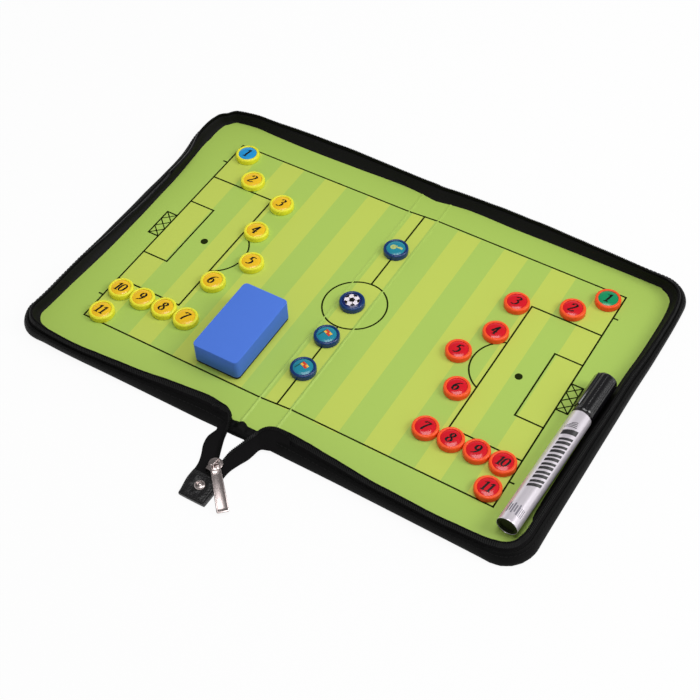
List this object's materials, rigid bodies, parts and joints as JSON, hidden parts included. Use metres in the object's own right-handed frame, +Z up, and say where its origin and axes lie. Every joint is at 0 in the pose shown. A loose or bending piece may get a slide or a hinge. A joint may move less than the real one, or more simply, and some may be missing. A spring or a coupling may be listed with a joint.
{
  "type": "tactics board",
  "caption": "Zip-round folder that opens flat to a magnetic football pitch with numbered counters, an eraser and a marker pen, for planning play.",
  "frame": {"origin": "middle of the spine's underside, where the open folder lies on a table", "axes": "+X along the pitch towards the right half, +Y away from the zip's tail, +Z up"},
  "size_m": [0.444, 0.3561, 0.0233],
  "materials": {
    "black_leathercloth": "fine grained soft leathercloth, satin",
    "greyboard": "plain stiffener board",
    "steel": "thin tinned steel sheet",
    "pitch_print": "smooth printed film, satin, wipes clean",
    "zip_tape": "black woven tape",
    "zip_coil": "black coil",
    "zip_metal": "bright plated die casting",
    "eraser_foam": "blue closed-cell foam",
    "eraser_felt": "black felt",
    "pen_aluminium": "satin drawn tube",
    "pen_black": "glossy moulding",
    "pen_fibre": "bonded fibre",
    "yellow_counter": "glossy moulding with a printed disc",
    "red_counter": "glossy moulding with a printed disc",
    "blue_counter": "glossy moulding with a printed disc"
  },
  "bodies": {
    "spine": {"spine_cover": "black_leathercloth", "spine_board": "greyboard", "spine_steel_strip": "steel", "spine_pitch_strip": "pitch_print", "spine_end_gusset": "black_leathercloth", "zip_tail_left_tape": "zip_tape", "zip_tail_right_tape": "zip_tape", "zip_tail_coils": "zip_coil", "zip_end_tab": "black_leathercloth", "zip_end_rivet": "zip_metal"},
    "left_half": {"left_cover": "black_leathercloth", "left_board": "greyboard", "left_steel_sheet": "steel", "left_pitch_sheet": "pitch_print", "left_gusset": "black_leathercloth", "left_zip_tape": "zip_tape", "left_zip_coil": "zip_coil"},
    "right_half": {"right_cover": "black_leathercloth", "right_board": "greyboard", "right_steel_sheet": "steel", "right_pitch_sheet": "pitch_print", "right_gusset": "black_leathercloth", "right_zip_tape": "zip_tape", "right_zip_coil": "zip_coil"},
    "slider": {"zip_slider": "zip_metal"},
    "pull": {"zip_pull": "zip_metal"},
    "pen": {"pen_barrel": "pen_aluminium", "pen_end_plug": "pen_black", "pen_ink_reservoir": "pen_fibre", "pen_nib_holder": "pen_black", "pen_nib": "pen_fibre"},
    "cap": {"pen_cap": "pen_black"},
    "eraser": {"eraser_foam": "eraser_foam", "eraser_felt": "eraser_felt"},
    "yellow_counter_01": {"yellow_counter_01": "yellow_counter"},
    "yellow_counter_02": {"yellow_counter_02": "yellow_counter"},
    "yellow_counter_03": {"yellow_counter_03": "yellow_counter"},
    "yellow_counter_04": {"yellow_counter_04": "yellow_counter"},
    "yellow_counter_05": {"yellow_counter_05": "yellow_counter"},
    "yellow_counter_06": {"yellow_counter_06": "yellow_counter"},
    "yellow_counter_07": {"yellow_counter_07": "yellow_counter"},
    "yellow_counter_08": {"yellow_counter_08": "yellow_counter"},
    "yellow_counter_09": {"yellow_counter_09": "yellow_counter"},
    "yellow_counter_10": {"yellow_counter_10": "yellow_counter"},
    "yellow_counter_11": {"yellow_counter_11": "yellow_counter"},
    "red_counter_01": {"red_counter_01": "red_counter"},
    "red_counter_02": {"red_counter_02": "red_counter"},
    "red_counter_03": {"red_counter_03": "red_counter"},
    "red_counter_04": {"red_counter_04": "red_counter"},
    "red_counter_05": {"red_counter_05": "red_counter"},
    "red_counter_06": {"red_counter_06": "red_counter"},
    "red_counter_07": {"red_counter_07": "red_counter"},
    "red_counter_08": {"red_counter_08": "red_counter"},
    "red_counter_09": {"red_counter_09": "red_counter"},
    "red_counter_10": {"red_counter_10": "red_counter"},
    "red_counter_11": {"red_counter_11": "red_counter"},
    "ball_counter": {"ball_counter": "blue_counter"},
    "official_counter_1": {"official_counter_1": "blue_counter"},
    "official_counter_2": {"official_counter_2": "blue_counter"},
    "official_counter_3": {"official_counter_3": "blue_counter"}
  },
  "joints": [
    {"name": "left_fold", "type": "hinge", "parent": "spine", "child": "left_half", "pos_m": [-0.0129, 0, 0.0038], "axis": [0, -1, 0], "range_deg": [-90, 0]},
    {"name": "right_fold", "type": "hinge", "parent": "spine", "child": "right_half", "pos_m": [0.0129, 0, 0.0038], "axis": [0, 1, 0], "range_deg": [-90, 0]},
    {"name": "slider_slide", "type": "slide", "parent": "spine", "child": "slider", "axis": [0, 1, 0], "range_m": [0, 0.004]},
    {"name": "pull_swing", "type": "hinge", "parent": "slider", "child": "pull", "pos_m": [-0.0073, -0.1771, 0.0055], "axis": [-0.7373, -0.6756, 0], "range_deg": [0, 95]},
    {"name": "pen_lift", "type": "slide", "parent": "right_half", "child": "pen", "axis": [0, 0, 1], "range_m": [0, 0.05]},
    {"name": "cap_pull", "type": "slide", "parent": "pen", "child": "cap", "axis": [0.0401, 0.9992, 0], "range_m": [0, 0.028]},
    {"name": "eraser_lift", "type": "slide", "parent": "left_half", "child": "eraser", "axis": [0, 0, 1], "range_m": [0, 0.04]},
    {"name": "yellow_counter_01_lift", "type": "slide", "parent": "left_half", "child": "yellow_counter_01", "axis": [0, 0, 1], "range_m": [0, 0.025]},
    {"name": "yellow_counter_02_lift", "type": "slide", "parent": "left_half", "child": "yellow_counter_02", "axis": [0, 0, 1], "range_m": [0, 0.025]},
    {"name": "yellow_counter_03_lift", "type": "slide", "parent": "left_half", "child": "yellow_counter_03", "axis": [0, 0, 1], "range_m": [0, 0.025]},
    {"name": "yellow_counter_04_lift", "type": "slide", "parent": "left_half", "child": "yellow_counter_04", "axis": [0, 0, 1], "range_m": [0, 0.025]},
    {"name": "yellow_counter_05_lift", "type": "slide", "parent": "left_half", "child": "yellow_counter_05", "axis": [0, 0, 1], "range_m": [0, 0.025]},
    {"name": "yellow_counter_06_lift", "type": "slide", "parent": "left_half", "child": "yellow_counter_06", "axis": [0, 0, 1], "range_m": [0, 0.025]},
    {"name": "yellow_counter_07_lift", "type": "slide", "parent": "left_half", "child": "yellow_counter_07", "axis": [0, 0, 1], "range_m": [0, 0.025]},
    {"name": "yellow_counter_08_lift", "type": "slide", "parent": "left_half", "child": "yellow_counter_08", "axis": [0, 0, 1], "range_m": [0, 0.025]},
    {"name": "yellow_counter_09_lift", "type": "slide", "parent": "left_half", "child": "yellow_counter_09", "axis": [0, 0, 1], "range_m": [0, 0.025]},
    {"name": "yellow_counter_10_lift", "type": "slide", "parent": "left_half", "child": "yellow_counter_10", "axis": [0, 0, 1], "range_m": [0, 0.025]},
    {"name": "yellow_counter_11_lift", "type": "slide", "parent": "left_half", "child": "yellow_counter_11", "axis": [0, 0, 1], "range_m": [0, 0.025]},
    {"name": "red_counter_01_lift", "type": "slide", "parent": "right_half", "child": "red_counter_01", "axis": [0, 0, 1], "range_m": [0, 0.025]},
    {"name": "red_counter_02_lift", "type": "slide", "parent": "right_half", "child": "red_counter_02", "axis": [0, 0, 1], "range_m": [0, 0.025]},
    {"name": "red_counter_03_lift", "type": "slide", "parent": "right_half", "child": "red_counter_03", "axis": [0, 0, 1], "range_m": [0, 0.025]},
    {"name": "red_counter_04_lift", "type": "slide", "parent": "right_half", "child": "red_counter_04", "axis": [0, 0, 1], "range_m": [0, 0.025]},
    {"name": "red_counter_05_lift", "type": "slide", "parent": "right_half", "child": "red_counter_05", "axis": [0, 0, 1], "range_m": [0, 0.025]},
    {"name": "red_counter_06_lift", "type": "slide", "parent": "right_half", "child": "red_counter_06", "axis": [0, 0, 1], "range_m": [0, 0.025]},
    {"name": "red_counter_07_lift", "type": "slide", "parent": "right_half", "child": "red_counter_07", "axis": [0, 0, 1], "range_m": [0, 0.025]},
    {"name": "red_counter_08_lift", "type": "slide", "parent": "right_half", "child": "red_counter_08", "axis": [0, 0, 1], "range_m": [0, 0.025]},
    {"name": "red_counter_09_lift", "type": "slide", "parent": "right_half", "child": "red_counter_09", "axis": [0, 0, 1], "range_m": [0, 0.025]},
    {"name": "red_counter_10_lift", "type": "slide", "parent": "right_half", "child": "red_counter_10", "axis": [0, 0, 1], "range_m": [0, 0.025]},
    {"name": "red_counter_11_lift", "type": "slide", "parent": "right_half", "child": "red_counter_11", "axis": [0, 0, 1], "range_m": [0, 0.025]},
    {"name": "ball_counter_lift", "type": "slide", "parent": "spine", "child": "ball_counter", "axis": [0, 0, 1], "range_m": [0, 0.025]},
    {"name": "official_counter_1_lift", "type": "slide", "parent": "spine", "child": "official_counter_1", "axis": [0, 0, 1], "range_m": [0, 0.025]},
    {"name": "official_counter_2_lift", "type": "slide", "parent": "spine", "child": "official_counter_2", "axis": [0, 0, 1], "range_m": [0, 0.025]},
    {"name": "official_counter_3_lift", "type": "slide", "parent": "spine", "child": "official_counter_3", "axis": [0, 0, 1], "range_m": [0, 0.025]}
  ]
}
